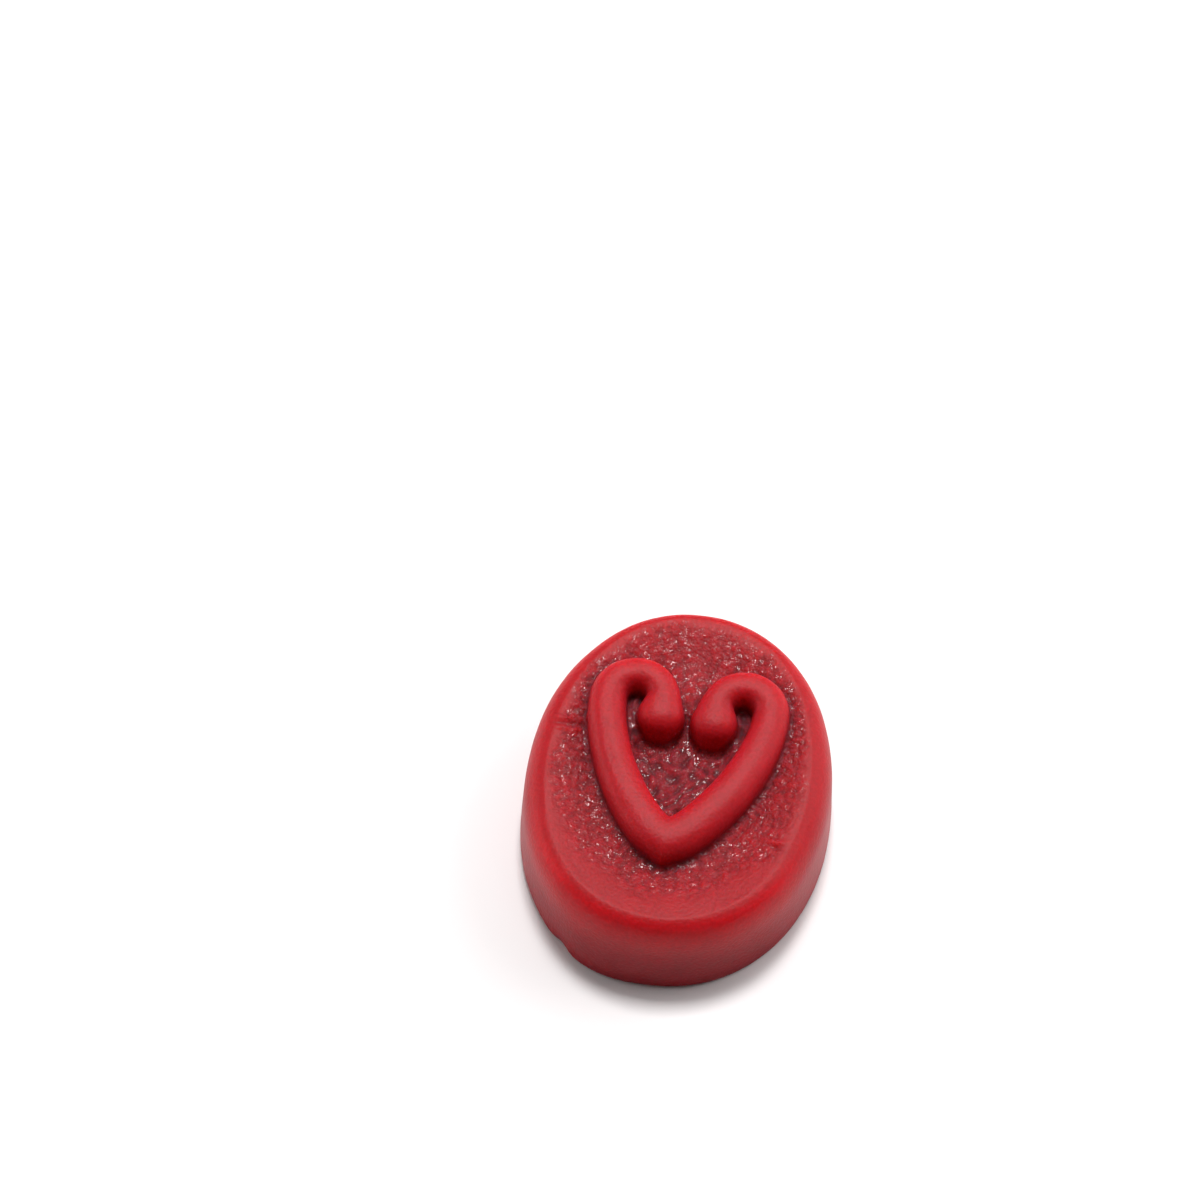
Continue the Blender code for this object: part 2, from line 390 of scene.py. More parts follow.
@dataclass(frozen=True)
class HeartBead:
    """The rounded bead of the scroll heart, slimmer towards its two ball ends."""

    top: float
    width: float = 3.2 * MM
    slim_width: float = 2.4 * MM
    core_height: float = 5.6 * MM
    power: float = 2.8
    half_width: float = 5.7 * MM
    notch_y: float = -4.0 * MM
    notch_radius: float = 0.2 * MM
    shoulder_y: float = 4.6 * MM
    tip_slope: float = math.radians(44.0)
    tip_sharpness: float = 0.4
    lower_pull: float = 3.0 * MM
    upper_pull: float = 3.4 * MM
    ball_x: float = 1.85 * MM
    ball_drop: float = 1.0 * MM
    ball_radius: float = 1.7 * MM
    ball_neck: float = 1.8 * MM
    sides: int = 48
    tip_steps: int = 14
    flank_steps: int = 60
    lobe_steps: int = 48
    neck_steps: int = 10
    ball_steps: int = 14

    @property
    def rise(self) -> float:
        """Height of the crown above the bead's core."""
        return self.top - self.core_height

    def rings(self) -> list[np.ndarray]:
        """Rings of the whole bead, from the left ball round the point to the right ball."""
        right = [self._section(station) for station in self._stations()]
        left = [ring * (-1.0, 1.0, 1.0) for ring in right[1:]]
        return left[::-1] + right

    def gap(self, points: np.ndarray) -> np.ndarray:
        """How far each point lies outside the bead's edge in plan.

        Args:
            points: One row of x, y and z for each point.

        Returns:
            One distance for each point, less than 0 on the bead.
        """
        stations = self._stations()
        tree = kdtree.KDTree(2 * len(stations))
        for place, station in enumerate(stations):
            tree.insert((station.centre.x, station.centre.y, 0.0), place)
            tree.insert((-station.centre.x, station.centre.y, 0.0), place)
        tree.balance()
        edge = np.array([max(station.half_width, self.slim_width / 2.0) for station in stations])
        found = [tree.find((x, y, 0.0)) for x, y, _ in points.tolist()]
        distance = np.array([hit[2] for hit in found])
        return distance - edge[[hit[1] for hit in found]]

    def encloses(self, points: np.ndarray) -> np.ndarray:
        """Tell which points lie within the heart's centre line in plan.

        Args:
            points: One row of x, y and z for each point.

        Returns:
            True or False for each point.
        """
        right = [station.centre for station in self._stations()]
        loop = [(centre.x, centre.y) for centre in right]
        loop += [(-centre.x, centre.y) for centre in reversed(right)]
        inside = np.zeros(len(points), bool)
        for (x_one, y_one), (x_two, y_two) in zip(loop, loop[1:] + loop[:1]):
            if y_one != y_two:
                spans = (points[:, 1] < y_one) != (points[:, 1] < y_two)
                crossing = x_one + (points[:, 1] - y_one) * (x_two - x_one) / (y_two - y_one)
                inside ^= spans & (points[:, 0] < crossing)
        return inside

    def _section(self, station: Station) -> np.ndarray:
        """One closed section of the bead, upright across its centre line.

        Args:
            station: Where the section stands and how big it is.

        Returns:
            One row for each point of the section.
        """
        angle = np.linspace(0.0, math.tau, self.sides, endpoint=False)
        aside = station.half_width * signed_power(np.cos(angle), 2.0 / self.power)
        above = station.rise * signed_power(np.sin(angle), 2.0 / self.power)
        across = station.centre.x + station.across.x * aside
        along = station.centre.y + station.across.y * aside
        return np.stack([across, along, self.core_height + above], axis=1)

    def _outward(self, turn: float) -> Vector:
        """Direction from the notch, turned from straight down towards the right flank."""
        return Vector((math.sin(turn), -math.cos(turn)))

    def _tip(self) -> list[Station]:
        """Stations fanned about the notch, round the right half of the heart's point."""
        notch = Vector((0.0, self.notch_y))
        stations = []
        for turn in np.linspace(0.0, self.tip_slope, self.tip_steps, endpoint=False):
            corner = 1.0 / math.cos(self.tip_slope - turn) - 1.0
            reach = (self.notch_radius + self.width) * (1.0 + self.tip_sharpness * corner)
            across = self._outward(turn)
            centre = notch + across * (reach + self.notch_radius) / 2.0
            stations.append(Station(centre, across, (reach - self.notch_radius) / 2.0, self.rise))
        return stations

    def _line(self) -> list[Vector]:
        """Centre line of the right arm, from the start of the flank to the end of the ball."""
        start = Vector((0.0, self.notch_y))
        start += self._outward(self.tip_slope) * (self.notch_radius + self.width / 2.0)
        slope = Vector((math.cos(self.tip_slope), math.sin(self.tip_slope)))
        lower_handle = start + slope * self.lower_pull
        end = Vector((self.half_width, self.shoulder_y))
        upper_handle = end - Vector((0.0, self.upper_pull))
        line = []
        for share in np.linspace(0.0, 1.0, self.flank_steps + 1):
            rest = 1.0 - share
            bend = (lower_handle * rest + upper_handle * share) * 3.0 * rest * share
            line.append(start * rest ** 3 + bend + end * share ** 3)
        radius = (self.half_width - self.ball_x) / 2.0
        middle = Vector((self.ball_x + radius, self.shoulder_y))
        for turn in np.linspace(0.0, math.pi, self.lobe_steps + 1)[1:]:
            line.append(middle + radius * Vector((math.cos(turn), math.sin(turn))))
        for share in np.linspace(0.0, 1.0, self.neck_steps + 1)[1:]:
            line.append(Vector((self.ball_x, self.shoulder_y - self.ball_drop * share)))
        for turn in np.linspace(0.0, math.pi / 2.0, self.ball_steps + 1)[1:]:
            drop = self.ball_drop + self.ball_radius * math.sin(turn)
            line.append(Vector((self.ball_x, self.shoulder_y - drop)))
        return line

    def _rounded(self, past: float, power: float) -> float:
        """Share of the full size at a distance past the middle of the ball."""
        share = min(1.0, max(0.0, past / self.ball_radius))
        return (1.0 - share ** power) ** (1.0 / power)

    def _stations(self) -> list[Station]:
        """Stations of the right half, from the point to the end of the ball."""
        stations = self._tip()
        line = self._line()
        steps = [(after - before).length for before, after in zip(line, line[1:])]
        lengths = np.cumsum([0.0] + steps)
        ball_at = lengths[-1] - self.ball_radius
        first_across = self._outward(self.tip_slope)
        stations.append(Station(line[0], first_across, self.width / 2.0, self.rise))
        for before, centre, after, length in zip(line, line[1:], line[2:], lengths[1:]):
            along = (after - before).normalized()
            past = length - ball_at
            slim = (self.width + (self.slim_width - self.width) * min(1.0, length / ball_at)) / 2.0
            swell = 1.0 - float(eased(-past / self.ball_neck))
            half_width = (slim + (self.ball_radius - slim) * swell) * self._rounded(past, 2.0)
            rise = self.rise * self._rounded(past, self.power)
            stations.append(Station(centre, Vector((along.y, -along.x)), half_width, rise))
        return stations


@dataclass(frozen=True)
class Fold:
    """A crease in the skin, a shallow arc in plan. A depth below 0 makes it a crest."""

    start: tuple[float, float]
    end: tuple[float, float]
    width: float
    depth: float
    sag: float = 0.0
    fade_share: float = 0.25

    def drop(self, points: np.ndarray) -> np.ndarray:
        """How deep the crease is at each point.

        Args:
            points: One row of x, y and z for each point.

        Returns:
            One depth for each point.
        """
        start = np.array(self.start)
        run = np.array(self.end) - start
        length = float(np.hypot(*run))
        offset = points[:, :2] - start
        share = offset @ run / length ** 2
        aside = (offset[:, 0] * run[1] - offset[:, 1] * run[0]) / length
        bow = 4.0 * self.sag * share * (1.0 - share)
        fade = eased(share / self.fade_share) * eased((1.0 - share) / self.fade_share)
        return self.depth * fade * np.exp(-((aside - bow) / self.width) ** 2)


@dataclass(frozen=True)
class Swell:
    """A soft bulge of the wall in plan. A height below 0 makes it a dent."""

    middle: tuple[float, float]
    level: float
    reach: float
    rise: float
    height: float

    def push(self, points: np.ndarray) -> np.ndarray:
        """How far out each point goes."""
        away = np.hypot(points[:, 0] - self.middle[0], points[:, 1] - self.middle[1]) / self.reach
        above = (points[:, 2] - self.level) / self.rise
        return self.height * np.exp(-away ** 2 - above ** 2)


@dataclass(frozen=True)
class Relief:
    """What setting and handling leave on the moulded skin, each as a height and a width."""

    sway_height: float = 0.06 * MM
    sway_width: float = 5.0 * MM
    ripple_height: float = 0.012 * MM
    ripple_width: float = 1.7 * MM
    hide_height: float = 0.060 * MM
    hide_width: float = 0.75 * MM
    pebble_height: float = 0.046 * MM
    pebble_width: float = 0.25 * MM
    pull_height: float = 0.042 * MM
    pull_width: float = 0.40 * MM
    pull_stretch: float = 0.22
    crumple_height: float = 0.48 * MM
    crumple_width: float = 1.15 * MM
    pucker_height: float = 0.05 * MM
    pucker_width: float = 0.45 * MM
    crest_height: float = 0.19 * MM
    crest_at_sides: float = 0.10
    crest_width: float = 0.6 * MM
    crest_offset: float = 0.6 * MM
    crest_wear: float = 0.2
    crest_wear_width: float = 2.5 * MM
    front_start: float = 4.0 * MM
    front_run: float = 5.0 * MM
    # the grain depth over which the hollows' painted shade comes in
    hollow_height: float = 0.10 * MM
    # the moat's width also sets how far the painted shade at the bead's foot reaches
    moat_depth: float = 0.05 * MM
    moat_width: float = 0.35 * MM
    lip_gap: float = 0.75 * MM
    lip_width: float = 0.16 * MM
    lip_depth: float = 0.14 * MM
    lip_middle: tuple[float, float] = (5.2 * MM, -3.6 * MM)
    lip_reach: float = 2.6 * MM
    field_start: float = 0.0 * MM
    field_run: float = 0.9 * MM
    field_front: float = 0.9 * MM
    field_sway: float = 0.6 * MM
    field_sway_width: float = 2.1 * MM
    field_facing: float = 0.3
    field_facing_run: float = 0.5
    far_grain: float = 0.6
    floor_grain: float = 0.3
    floor_edge: float = 0.3 * MM
    near_run: float = 1.7 * MM
    far_gloss: float = 0.30
    floor_gloss: float = 0.55
    # where the painted glow of the edges lies: its height, its facing, its share at the sides and
    # on the bead
    edge_low: float = 1.8 * MM
    edge_run: float = 3.8 * MM
    edge_facing: float = 0.97
    edge_facing_run: float = 0.30
    painted_glow_at_sides: float = 0.28
    painted_glow_on_bead: float = 0.18
    bead_start: float = 0.15 * MM
    bead_run: float = 0.6 * MM
    bead_reach: float = 0.4 * MM
    bead_wave: float = 0.035 * MM
    bead_wave_width: float = 2.2 * MM
    bead_dimple: float = 0.010 * MM
    bead_dimple_width: float = 0.55 * MM
    swell_core: float = 6.0 * MM
    swells: tuple[Swell, ...] = (
        Swell((-4.4 * MM, -13.2 * MM), 0.0, 3.6 * MM, 4.0 * MM, 0.30 * MM),
        Swell((-6.2 * MM, -11.8 * MM), 0.0, 0.8 * MM, 0.9 * MM, -0.24 * MM),
        Swell((7.9 * MM, 9.2 * MM), 5.2 * MM, 4.0 * MM, 4.0 * MM, 0.10 * MM),
    )
    fold_level: float = 0.7
    fold_break: float = 0.8
    fold_break_width: float = 0.6 * MM
    folds: tuple[Fold, ...] = (
        Fold((-9.2 * MM, 1.5 * MM), (-6.6 * MM, 1.8 * MM), 0.17 * MM, -0.13 * MM, 0.10 * MM),
        Fold((-9.4 * MM, 1.9 * MM), (-6.6 * MM, 2.2 * MM), 0.20 * MM, 0.09 * MM, 0.10 * MM),
        Fold((-9.3 * MM, 2.3 * MM), (-6.5 * MM, 2.7 * MM), 0.20 * MM, -0.19 * MM, 0.10 * MM),
        Fold((6.4 * MM, -0.4 * MM), (9.1 * MM, -1.1 * MM), 0.16 * MM, 0.06 * MM, -0.08 * MM),
        Fold((7.2 * MM, 1.7 * MM), (8.9 * MM, 1.0 * MM), 0.16 * MM, 0.05 * MM),
        Fold((6.4 * MM, -4.5 * MM), (8.2 * MM, -4.9 * MM), 0.17 * MM, -0.15 * MM, 0.15 * MM),
        Fold((6.4 * MM, -4.9 * MM), (8.3 * MM, -5.3 * MM), 0.17 * MM, 0.08 * MM, 0.15 * MM),
        Fold((-5.2 * MM, 0.8 * MM), (-3.9 * MM, -2.0 * MM), 0.14 * MM, 0.03 * MM, 0.12 * MM),
    )


@dataclass
class Medallion:
    """The whole sweet: the body and its bead fused, softened and grained."""

    body: OvalBody
    bead: HeartBead
    relief: Relief
    voxel: float = 0.12 * MM
    soften_factor: float = 0.5
    soften_steps: int = 4
    base_fade: float = 4.0
    name: str = "medallion_paste"

    def build(self) -> bpy.types.Object:
        """Make the sweet's mesh, with a point attribute for each zone.

        Returns:
            The finished object, without a material.
        """
        piece = self._fused()
        self._settle(piece.data)
        self._close_base(piece.data)
        return piece

    def _fused(self) -> bpy.types.Object:
        """Body and bead as one skin of even grain."""
        mould = bmesh.new()
        loft = Loft(mould)
        loft.skin(self.body.rings())
        loft.skin(self.bead.rings())
        bmesh.ops.recalc_face_normals(mould, faces=mould.faces)
        rough = bpy.data.meshes.new("rough_cast")
        mould.to_mesh(rough)
        mould.free()
        cast = bpy.data.objects.new("rough_cast", rough)
        bpy.context.scene.collection.objects.link(cast)
        fuse = cast.modifiers.new("fuse", "REMESH")
        fuse.mode = "VOXEL"
        fuse.voxel_size = self.voxel
        soften = cast.modifiers.new("soften", "SMOOTH")
        soften.factor = self.soften_factor
        soften.iterations = self.soften_steps
        graph = bpy.context.evaluated_depsgraph_get()
        skin = bpy.data.meshes.new_from_object(cast.evaluated_get(graph))
        skin.name = self.name
        bpy.data.objects.remove(cast, do_unlink=True)
        bpy.data.meshes.remove(rough)
        piece = bpy.data.objects.new(self.name, skin)
        bpy.context.scene.collection.objects.link(piece)
        return piece

    def _settle(self, mesh: bpy.types.Mesh) -> None:
        """Press the relief into the skin and record the zones.

        Args:
            mesh: The smooth skin, which is changed in place.
        """
        points = np.empty(len(mesh.vertices) * 3, np.float32)
        mesh.vertices.foreach_get("co", points)
        points = points.reshape(-1, 3).astype(float)
        normals = np.empty(len(mesh.vertices) * 3, np.float32)
        mesh.vertex_normals.foreach_get("vector", normals)
        normals = normals.reshape(-1, 3).astype(float)
        gap = self.bead.gap(points)
        zones = self._zones(points, normals, gap)
        heights = self._heights(points, gap, zones)
        off_base = eased(points[:, 2] / (self.base_fade * self.voxel))
        points += normals * (heights * off_base)[:, None]
        self._swell(points)
        points[points[:, 2] < self.voxel / 2.0, 2] = 0.0
        mesh.vertices.foreach_set("co", points.astype(np.float32).ravel())
        for zone, share in zones.items():
            layer = mesh.attributes.new(zone.value, "FLOAT", "POINT")
            layer.data.foreach_set("value", share.astype(np.float32))
        mesh.update()

    def _zones(self, points: np.ndarray, normals: np.ndarray,
               gap: np.ndarray) -> dict[Zone, np.ndarray]:
        """Share of each zone at each point, save the hollows of the grain.

        Args:
            points: Places of the smooth skin.
            normals: Its normals.
            gap: Distance from the bead's edge.

        Returns:
            The shares of each zone.
        """
        relief = self.relief
        body = self.body
        on_top = eased((points[:, 2] - body.rim_height + body.rim_drop) / body.rim_drop)
        lift = points[:, 2] - body.face_height(points)
        bead = eased((lift - relief.bead_start) / relief.bead_run) * (gap < relief.bead_reach)
        edge = body.inward(points) - relief.field_start - relief.field_front * self._front(points)
        sway = rolling(points, relief.field_sway_width, Layer.FIELD_EDGE)
        ragged = edge + relief.field_sway * sway
        facing_up = eased((normals[:, 2] - relief.field_facing) / relief.field_facing_run)
        field = eased(ragged / relief.field_run) * facing_up * (1.0 - bead)
        off_bead = eased(gap / relief.floor_edge) * (1.0 - bead)
        inside = self.bead.encloses(points) * off_bead * on_top
        field *= body.inward(points) > 0.0
        near = field * np.exp(-np.maximum(gap, 0.0) / relief.near_run)
        # painted glow: the rim's tilted shoulder, fullest at the front end, and the bead's flanks
        # get a brighter red
        tilted = eased((relief.edge_facing - normals[:, 2]) / relief.edge_facing_run)
        shoulder = eased((points[:, 2] - relief.edge_low) / relief.edge_run)
        shoulder *= (body.inward(points) < 0.0) * self._from(relief.painted_glow_at_sides, points)
        gloss = field * (relief.far_gloss + near) + relief.floor_gloss * inside
        return {
            Zone.WALL: 1.0 - on_top,
            Zone.FIELD: field,
            Zone.NEAR: near,
            Zone.FLOOR: inside,
            Zone.EDGE: tilted * np.maximum(shoulder, relief.painted_glow_on_bead * bead),
            Zone.GLOSS: np.clip(gloss, 0.0, 1.0),
            Zone.GRAIN: self._grained(field, near) * (1.0 - (1.0 - relief.floor_grain) * inside),
            Zone.BEAD: bead,
            # the bead's foot, for the moat and for the painted shade there
            Zone.FOOT: on_top * np.exp(-(gap / relief.moat_width) ** 2) * (1.0 - eased(lift / MM)),
        }

    def _grained(self, field: np.ndarray, near: np.ndarray) -> np.ndarray:
        """Share of the full grain at each point of the field, which grows towards the bead."""
        return field * (self.relief.far_grain + (1.0 - self.relief.far_grain) * near)

    def _heights(self, points: np.ndarray, gap: np.ndarray,
                 zones: dict[Zone, np.ndarray]) -> np.ndarray:
        """How far the relief lifts each point. It also adds the grain's hollows to the zones.

        Args:
            points: Places of the smooth skin.
            gap: Distance from the bead's edge.
            zones: The shares of the other zones.

        Returns:
            One height for each point.
        """
        relief = self.relief
        grain = self._grain(points, zones)
        # mask of the grain's hollows, where the colour gets painted shade
        zones[Zone.HOLLOW_SHADE] = np.clip(0.5 - grain / relief.hollow_height, 0.0, 1.0)
        heights = relief.sway_height * rolling(points, relief.sway_width, Layer.SWAY)
        heights += relief.ripple_height * rolling(points, relief.ripple_width, Layer.RIPPLE)
        heights += grain - relief.moat_depth * zones[Zone.FOOT]
        off_crest = (self.body.inward(points) + relief.crest_offset) / relief.crest_width
        wear = rolling(points, relief.crest_wear_width, Layer.CREST_WEAR)
        worn = 1.0 + relief.crest_wear * wear
        crest = relief.crest_height * self._from(relief.crest_at_sides, points) * worn
        heights += crest * np.exp(-off_crest ** 2)
        around = np.hypot(points[:, 0] - relief.lip_middle[0], points[:, 1] - relief.lip_middle[1])
        lip = np.exp(-((gap - relief.lip_gap) / relief.lip_width) ** 2)
        lip *= zones[Zone.FIELD] * eased(2.0 - 2.0 * around / relief.lip_reach)
        heights -= relief.lip_depth * lip
        on_top = 1.0 - zones[Zone.WALL]
        gaps = rolling(points, relief.fold_break_width, Layer.FOLD_BREAK)
        broken = relief.fold_level + relief.fold_break * gaps
        heights -= on_top * broken * sum(fold.drop(points) for fold in relief.folds)
        wave = relief.bead_wave * rolling(points, relief.bead_wave_width, Layer.BEAD_WAVE)
        dimple = rolling(points, relief.bead_dimple_width, Layer.BEAD_DIMPLE)
        dimple *= relief.bead_dimple
        return heights + zones[Zone.BEAD] * (wave + dimple)

    def _front(self, points: np.ndarray) -> np.ndarray:
        """Share from 0 to 1 by which each point lies in the front end of the oval."""
        return eased((-points[:, 1] - self.relief.front_start) / self.relief.front_run)

    def _from(self, share: float, points: np.ndarray) -> np.ndarray:
        """A share at the sides and the far end that grows to 1 in the front end."""
        return share + (1.0 - share) * self._front(points)

    def _grain(self, points: np.ndarray, zones: dict[Zone, np.ndarray]) -> np.ndarray:
        """Height of the leathery grain of the field and of the crumpled floor.

        Args:
            points: Places of the smooth skin.
            zones: The shares of the zones.

        Returns:
            One height for each point, about 0 on the average.
        """
        relief = self.relief
        field = self._grained(zones[Zone.FIELD], zones[Zone.NEAR])
        hide = relief.hide_height * (pebbled(points, relief.hide_width, Layer.HIDE) - 0.5)
        hide += relief.pebble_height * rolling(points, relief.pebble_width, Layer.PEBBLE)
        reach = np.hypot(points[:, 0], points[:, 1]) + self.voxel
        middle = (self.body.crown_width + self.body.crown_length) / 2.0
        radial = points * (middle / reach)[:, None]
        radial[:, 2] = reach * relief.pull_stretch
        hide += relief.pull_height * rolling(radial, relief.pull_width, Layer.PULL)
        creases = crumpled(points, relief.crumple_width, Layer.CRUMPLE)
        puckers = pebbled(points, relief.pucker_width, Layer.PUCKER)
        crumple = relief.crumple_height * (creases - 0.5)
        crumple += relief.pucker_height * (puckers - 0.5)
        floor = zones[Zone.FLOOR]
        return field * (1.0 - floor) * hide + floor * crumple

    def _swell(self, points: np.ndarray) -> None:
        """Push the wall out where the hand-cast oval is fuller, and in where its foot is dented.

        Args:
            points: Places of the skin, which are changed in place.
        """
        reach = np.hypot(points[:, 0], points[:, 1]) + self.voxel
        push = sum(swell.push(points) for swell in self.relief.swells)
        points[:, :2] *= (1.0 + push * eased(reach / self.relief.swell_core) / reach)[:, None]

    def _close_base(self, mesh: bpy.types.Mesh) -> None:
        """Swap the many level faces of the base for one, and shade the rest smooth.

        Args:
            mesh: The skin, which is changed in place.
        """
        mould = bmesh.new()
        mould.from_mesh(mesh)
        base = [face for face in mould.faces if all(vert.co.z == 0.0 for vert in face.verts)]
        flat = bmesh.ops.dissolve_faces(mould, faces=base, use_verts=False)["region"]
        for face in mould.faces:
            face.smooth = True
        for face in flat:
            face.smooth = False
            for edge in face.edges:
                edge.smooth = False
        mould.to_mesh(mesh)
        mould.free()


# --------------------------------------------------------------------------- finishes


@dataclass(frozen=True)
class LicoricePaste:
    """Set wheat-and-sugar paste, cast in a starch mould and polished with wax.

    The wax leaves a satin skin that is matt when faced and pale where it is seen at a low
    angle. The red paste under it is slightly translucent, and the rim's shoulders and the bead's
    flanks are also painted a brighter, purer red as painted glow. The face dried while it set and
    shrank into a leathery grain, and its hollows are painted wine-dark as painted shade. The floor
    inside the heart is darkest: its own purple-red, painted darker still as painted shade of the
    recess. The wall is painted a little darker than the rim and the bead's foot dark red, both as
    painted shade. A thin slick film of wax lies on it in patches and gives it small sharp glints.
    Crumbs and dust are drawn coarser than they are, or they would not show.
    """

    rim: str = "#a5111b"
    # painted glow: the brighter, purer red painted on the rim's shoulders and the bead's flanks
    edge: str = "#c1121e"
    # painted shade: the wall a slightly darker red than the rim
    wall: str = "#9c111d"
    field: str = "#a3151f"
    near: str = "#9a1722"
    # the floor's own purple-red, made darker still as painted shade of the recess inside the heart
    floor: str = "#761523"
    bead: str = "#aa121e"
    # painted shade: the dark red painted at the foot of the bead
    crease: str = "#8a1420"
    # painted shade: how dark the grain's hollows are painted
    hollow_shade: float = 0.66
    hollow_start: float = 0.4
    mottle: float = 0.12
    mottle_width: float = 1.4 * MM
    freckle: float = 0.28
    freckle_width: float = 0.22 * MM
    specular: float = 0.22
    satin: float = 0.52
    wall_satin: float = 0.42
    field_roughness: float = 0.72
    film: float = 0.54
    film_roughness: float = 0.12
    film_least: float = 0.05
    film_patch: float = 0.5 * MM
    patch_edge: tuple[float, float] = (0.50, 0.60)
    glow: float = 1.0
    glow_depth: float = 4.0 * MM
    glow_spread: tuple[float, float, float] = (1.0, 0.08, 0.06)
    cell_width: float = 0.30 * MM
    cell_height: float = 0.10 * MM
    crumb_width: float = 0.16 * MM
    crumb_height: float = 0.055 * MM
    dust_width: float = 0.22 * MM
    dust_height: float = 0.034 * MM

    def material(self) -> bpy.types.Material:
        """The paste's material, which reads the zones of the skin."""
        paste = bpy.data.materials.new("licorice_paste")
        paste.use_nodes = True
        tree = paste.node_tree
        shader = tree.nodes["Principled BSDF"]
        shader.inputs["Subsurface Weight"].default_value = self.glow
        shader.inputs["Subsurface Radius"].default_value = self.glow_spread
        shader.inputs["Subsurface Scale"].default_value = self.glow_depth
        shader.inputs["Specular IOR Level"].default_value = self.specular
        shader.inputs["Coat Roughness"].default_value = self.film_roughness
        places = add_node(tree, "TexCoord").outputs["Object"]
        zones = {
            zone: add_node(tree, "Attribute", attribute_name=zone.value).outputs["Fac"]
            for zone in Zone
        }
        tree.links.new(self._colour(tree, places, zones), shader.inputs["Base Color"])
        tree.links.new(self._roughness(tree, zones), shader.inputs["Roughness"])
        tree.links.new(self._film(tree, places, zones), shader.inputs["Coat Weight"])
        grain = self._bump(tree, places, zones)
        tree.links.new(grain, shader.inputs["Normal"])
        tree.links.new(grain, shader.inputs["Coat Normal"])
        return paste

    def _noise(self, tree: bpy.types.NodeTree, places: bpy.types.NodeSocket, width: float,
               detail: float) -> bpy.types.NodeSocket:
        """Noise whose lumps have a real width.

        Args:
            tree: The material's node tree.
            places: The surface's Object coordinates.
            width: Width of a lump.
            detail: How many finer layers it holds.

        Returns:
            The noise, from 0 to 1.
        """
        return add_node(
            tree, "TexNoise", {"Vector": places, "Scale": 1.0 / width, "Detail": detail},
        ).outputs["Fac"]

    def _colour(self, tree: bpy.types.NodeTree, places: bpy.types.NodeSocket,
                zones: dict[Zone, bpy.types.NodeSocket]) -> bpy.types.NodeSocket:
        """Red rim and bead, a wine-dark field, and the colours that carry painted light.

        The wall is a little darker and the bead's foot dark red, both painted shade; the floor
        inside the heart is darker still, partly painted shade of the recess; the grain's hollows
        get painted shade; the rim's shoulders and the bead's flanks get a brighter red as painted
        glow.

        Args:
            tree: The material's node tree.
            places: The surface's Object coordinates.
            zones: The zones as the tree reads them.

        Returns:
            The base colour.
        """
        # the wall, floor, edge and foot colours carry painted shade and painted glow
        shades = (
            (Zone.WALL, self.wall), (Zone.FIELD, self.field), (Zone.NEAR, self.near),
            (Zone.FLOOR, self.floor), (Zone.BEAD, self.bead), (Zone.EDGE, self.edge),
            (Zone.FOOT, self.crease),
        )
        colour = linear(self.rim)
        for zone, shade in shades:
            colour = add_node(
                tree, "Mix", {"Factor": zones[zone], "A": colour, "B": linear(shade)},
                data_type="RGBA",
            ).outputs["Result"]
        lumps = add_node(tree, "MapRange", {
            "Value": self._noise(tree, places, self.mottle_width, detail=3.0),
            "To Min": 1.0 - self.mottle, "To Max": 1.0 + self.mottle,
        }).outputs["Result"]
        specks = add_node(tree, "MapRange", {
            "Value": self._noise(tree, places, self.freckle_width, detail=2.0),
            "To Min": 1.0 - self.freckle, "To Max": 1.0 + self.freckle,
        }).outputs["Result"]
        # painted shade: the colour darkened in the grain's hollows
        depth = add_node(tree, "MapRange", {
            "Value": zones[Zone.HOLLOW_SHADE], "From Min": self.hollow_start,
            "To Min": 1.0, "To Max": self.hollow_shade,
        }).outputs["Result"]
        level = lumps
        for share in (depth, specks):
            level = add_node(
                tree, "Math", {0: level, 1: share}, operation="MULTIPLY",
            ).outputs["Value"]
        return add_node(
            tree, "VectorMath", {0: colour, "Scale": level}, operation="SCALE",
        ).outputs["Vector"]

    def _roughness(self, tree: bpy.types.NodeTree,
                   zones: dict[Zone, bpy.types.NodeSocket]) -> bpy.types.NodeSocket:
        """Satin rim, bead and wall, and a matt field under its film.

        Args:
            tree: The material's node tree.
            zones: The zones as the tree reads them.

        Returns:
            The roughness.
        """
        satin = add_node(
            tree, "Mix", {"Factor": zones[Zone.WALL], "A": self.satin, "B": self.wall_satin},
        ).outputs["Result"]
        return add_node(
            tree, "Mix", {"Factor": zones[Zone.GLOSS], "A": satin, "B": self.field_roughness},
        ).outputs["Result"]

    def _film(self, tree: bpy.types.NodeTree, places: bpy.types.NodeSocket,
              zones: dict[Zone, bpy.types.NodeSocket]) -> bpy.types.NodeSocket:
        """The slick film on the field and the floor, in patches.

        Args:
            tree: The material's node tree.
            places: The surface's Object coordinates.
            zones: The zones as the tree reads them.

        Returns:
            The share of the surface that the film covers.
        """
        patches = add_node(tree, "MapRange", {
            "Value": self._noise(tree, places, self.film_patch, detail=2.0),
            "From Min": self.patch_edge[0], "From Max": self.patch_edge[1],
            "To Min": self.film_least * self.film, "To Max": self.film,
        }).outputs["Result"]
        return add_node(
            tree, "Math", {0: zones[Zone.GLOSS], 1: patches}, operation="MULTIPLY",
        ).outputs["Value"]

